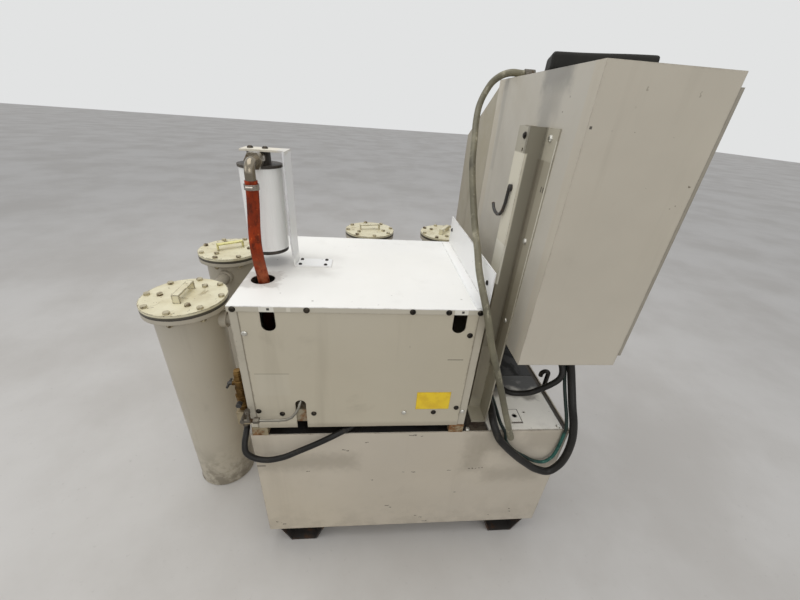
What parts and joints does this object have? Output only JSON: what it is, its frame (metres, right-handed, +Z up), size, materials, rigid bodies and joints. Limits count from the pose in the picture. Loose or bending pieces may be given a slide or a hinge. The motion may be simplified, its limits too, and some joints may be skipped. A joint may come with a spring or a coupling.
{
  "type": "machine tool coolant unit",
  "caption": "High-pressure coolant supply unit: tank on fork skids, pump cabinet, separator, bag-filter canisters, valve stack, control enclosure on a post, and hoses.",
  "frame": {"origin": "bottom centre of the whole unit on the floor, measured without its hoses and cables", "axes": "+X to the right seen from the front, +Y to the back, +Z up"},
  "size_m": [1.466, 1.363, 1.638],
  "materials": {
    "body_paint": "satin grey-beige enamel, worn",
    "white_paint": "satin off-white enamel",
    "cream_paint": "satin cream enamel, chipped",
    "rusty_steel": "rusty, matte",
    "dark_steel": "black, matte",
    "bare_steel": "bare, dull",
    "silver": "brushed, satin",
    "pump_iron": "painted casting, satin",
    "motor_paint": "satin blue-grey enamel",
    "brass": "tarnished",
    "black_plastic": "matte black",
    "black_rubber": "matte black",
    "red_rubber": "mottled red, matte",
    "conduit_cover": "olive grey, scuffed",
    "teal_cover": "teal green, matte",
    "grey_plastic": "light grey, matte",
    "red_plastic": "red, gloss",
    "felt": "needled felt, matte"
  },
  "bodies": {
    "unit": {"tank": "body_paint", "tank_inserts": "body_paint", "cabinet_casing": "body_paint", "front_panel": "body_paint", "enclosure_shell": "body_paint", "pedestal": "body_paint", "post": "body_paint", "canister_1": "body_paint", "canister_2": "body_paint", "canister_3": "body_paint", "canister_4": "body_paint", "cabinet_cover": "white_paint", "drip_shield": "white_paint", "separator_bracket": "white_paint", "service_cover": "white_paint", "canister_lids": "cream_paint", "deck_plate": "rusty_steel", "cabinet_frame": "rusty_steel", "pump_rails": "rusty_steel", "filter_pipes": "rusty_steel", "elbow_pipe": "rusty_steel", "lid_bolts": "rusty_steel", "skids": "dark_steel", "dome_screws": "dark_steel", "hose_fittings": "dark_steel", "cable_hook": "dark_steel", "suction_pipe": "bare_steel", "pressure_pipe": "bare_steel", "bypass_pipe": "bare_steel", "hose_clamps": "bare_steel", "filter_baskets": "bare_steel", "back_plate": "bare_steel", "valve_block": "bare_steel", "separator_shell": "silver", "bell_housing": "silver", "pump_body": "pump_iron", "motor_body": "motor_paint", "fan_cover": "motor_paint", "relief_valve": "brass", "separator_caps": "black_plastic", "drain_hose": "black_rubber", "loop_hose": "black_rubber", "link_hose": "black_rubber", "lid_gaskets": "black_rubber", "top_pad": "black_rubber", "red_hose": "red_rubber", "conduit_hose": "conduit_cover", "earth_cable": "teal_cover", "switchgear": "grey_plastic", "filter_bags": "felt"},
    "rotor": {"pump_shaft": "bare_steel", "coupling_hubs": "silver", "coupling_spider": "red_rubber", "motor_shaft": "bare_steel", "motor_fan": "black_plastic"},
    "door": {"enclosure_door": "body_paint"},
    "latch": {"door_latch": "dark_steel"},
    "knob": {"relief_knob": "black_plastic"},
    "lever": {"valve_lever": "black_plastic"},
    "switch": {"switch_knob": "red_plastic"}
  },
  "joints": [
    {"name": "rotor_turn", "type": "hinge", "parent": "unit", "child": "rotor", "pos_m": [0.084, -0.2915, 0.825], "axis": [1, 0, 0], "continuous": true},
    {"name": "door_swing", "type": "hinge", "parent": "unit", "child": "door", "pos_m": [0.7095, -0.137, 1.262], "axis": [0, 0, 1], "range_deg": [0, 115]},
    {"name": "latch_turn", "type": "hinge", "parent": "door", "child": "latch", "pos_m": [0.709, -0.6215, 1.266], "axis": [-1, 0, 0], "range_deg": [0, 90]},
    {"name": "knob_turn", "type": "hinge", "parent": "unit", "child": "knob", "pos_m": [-0.3303, -0.6265, 0.73], "axis": [0, 1, 0], "range_deg": [-360, 360]},
    {"name": "lever_turn", "type": "hinge", "parent": "unit", "child": "lever", "pos_m": [-0.358, -0.5965, 0.785], "axis": [1, 0, 0], "range_deg": [0, 90]},
    {"name": "switch_turn", "type": "hinge", "parent": "unit", "child": "switch", "pos_m": [0.544, -0.5615, 1.464], "axis": [1, 0, 0], "range_deg": [0, 90]}
  ]
}
